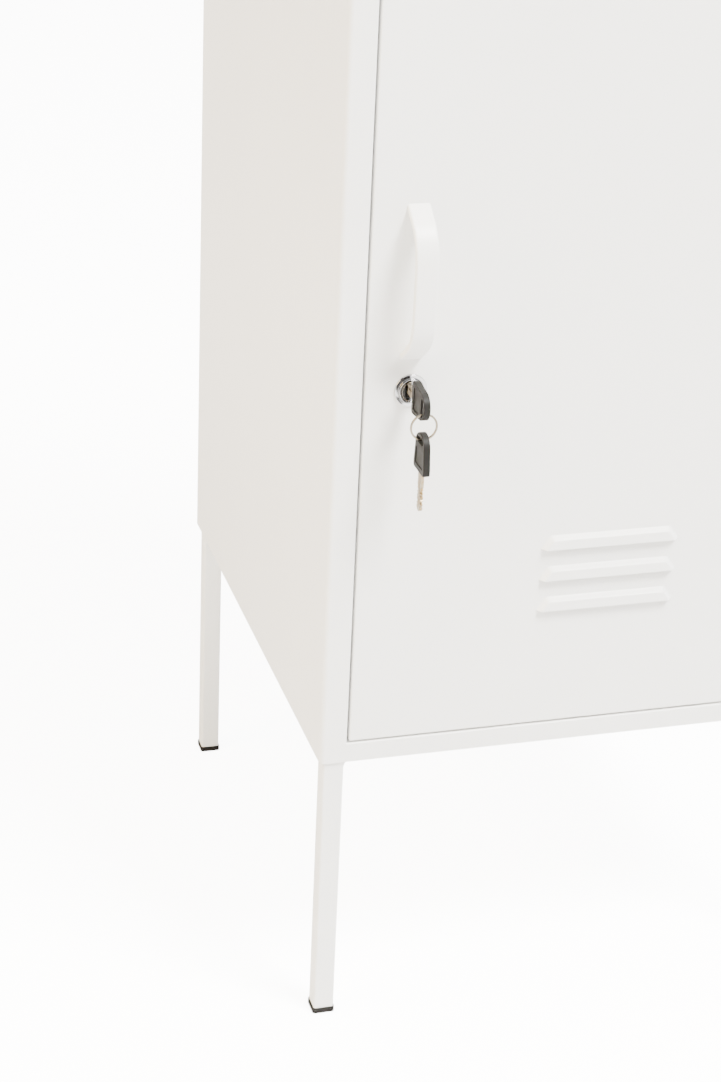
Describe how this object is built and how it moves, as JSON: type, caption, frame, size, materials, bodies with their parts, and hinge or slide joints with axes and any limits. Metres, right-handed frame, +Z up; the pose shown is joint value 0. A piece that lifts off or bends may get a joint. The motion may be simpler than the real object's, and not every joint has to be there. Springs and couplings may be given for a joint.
{
  "type": "locker cabinet",
  "caption": "Sheet-steel locker cabinet on slim square legs, with a hinged louvred door, a bow handle, shelves inside, and a cam lock with its keys on a ring.",
  "frame": {"origin": "on the floor, below the middle of the object's box (the box reaches from the spare key in front to the back panel)", "axes": "+Z up, +X to the right as one faces the door, -Y out of the door towards the user"},
  "size_m": [0.405, 0.4536, 0.95],
  "materials": {
    "painted_steel": "off-white semi-matt powder coat",
    "zinc_steel": "bright zinc plate",
    "chrome": "bright chrome plate",
    "ring_steel": "bright nickel plate on spring steel",
    "nickel_brass": "worn nickel plate over brass",
    "black_plastic": "black moulded plastic",
    "nylon": "natural nylon",
    "rubber": "soft black rubber"
  },
  "bodies": {
    "cabinet": {"left_side_panel": "painted_steel", "right_side_panel": "painted_steel", "back_panel": "painted_steel", "top_panel": "painted_steel", "base_pan": "painted_steel", "front_left_leg_socket": "painted_steel", "front_right_leg_socket": "painted_steel", "rear_left_leg_socket": "painted_steel", "rear_right_leg_socket": "painted_steel", "front_left_leg": "painted_steel", "front_right_leg": "painted_steel", "rear_left_leg": "painted_steel", "rear_right_leg": "painted_steel", "front_left_foot_cap": "black_plastic", "front_right_foot_cap": "black_plastic", "rear_left_foot_cap": "black_plastic", "rear_right_foot_cap": "black_plastic", "leg_inserts": "zinc_steel", "leg_bolts": "zinc_steel", "front_left_shelf_strip": "painted_steel", "front_right_shelf_strip": "painted_steel", "rear_left_shelf_strip": "painted_steel", "rear_right_shelf_strip": "painted_steel", "shelf_clips": "zinc_steel", "lower_shelf": "painted_steel", "upper_shelf": "painted_steel", "upper_hinge_plate": "zinc_steel", "lower_hinge_plate": "zinc_steel", "upper_hinge_pin": "zinc_steel", "lower_hinge_pin": "zinc_steel", "door_bumpers": "rubber"},
    "door": {"door_skin": "painted_steel", "door_stiffener": "painted_steel", "upper_hinge_bush": "nylon", "lower_hinge_bush": "nylon", "handle": "painted_steel", "handle_screws": "zinc_steel", "lock_barrel": "chrome", "lock_nut": "zinc_steel"},
    "lock_plug": {"lock_plug": "chrome", "lock_cam": "zinc_steel", "cam_screw": "zinc_steel"},
    "key": {"key_blade": "nickel_brass", "key_head": "black_plastic"},
    "ring": {"key_ring": "ring_steel"},
    "spare_key": {"spare_key_head": "black_plastic", "spare_key_blade": "nickel_brass"}
  },
  "joints": [
    {"name": "door_hinge", "type": "hinge", "parent": "cabinet", "child": "door", "pos_m": [0.1699, -0.178, 0.582], "axis": [0, 0, 1], "range_deg": [0, 110]},
    {"name": "lock_turn", "type": "hinge", "parent": "door", "child": "lock_plug", "pos_m": [-0.151, -0.1832, 0.4916], "axis": [0, 1, 0], "range_deg": [0, 90]},
    {"name": "key_slide", "type": "slide", "parent": "lock_plug", "child": "key", "axis": [0, -1, 0], "range_m": [0, 0.03]},
    {"name": "ring_turn", "type": "hinge", "parent": "key", "child": "ring", "pos_m": [-0.151, -0.2156, 0.48408], "axis": [0, 1, 0], "range_deg": [-90, 0]},
    {"name": "spare_key_swing", "type": "hinge", "parent": "ring", "child": "spare_key", "pos_m": [-0.151, -0.2156, 0.46985], "axis": [1, 0, 0], "range_deg": [-75, 30]}
  ],
  "couplings": [
    {"joint": "ring_turn", "follows": "lock_turn", "ratio": -1}
  ]
}
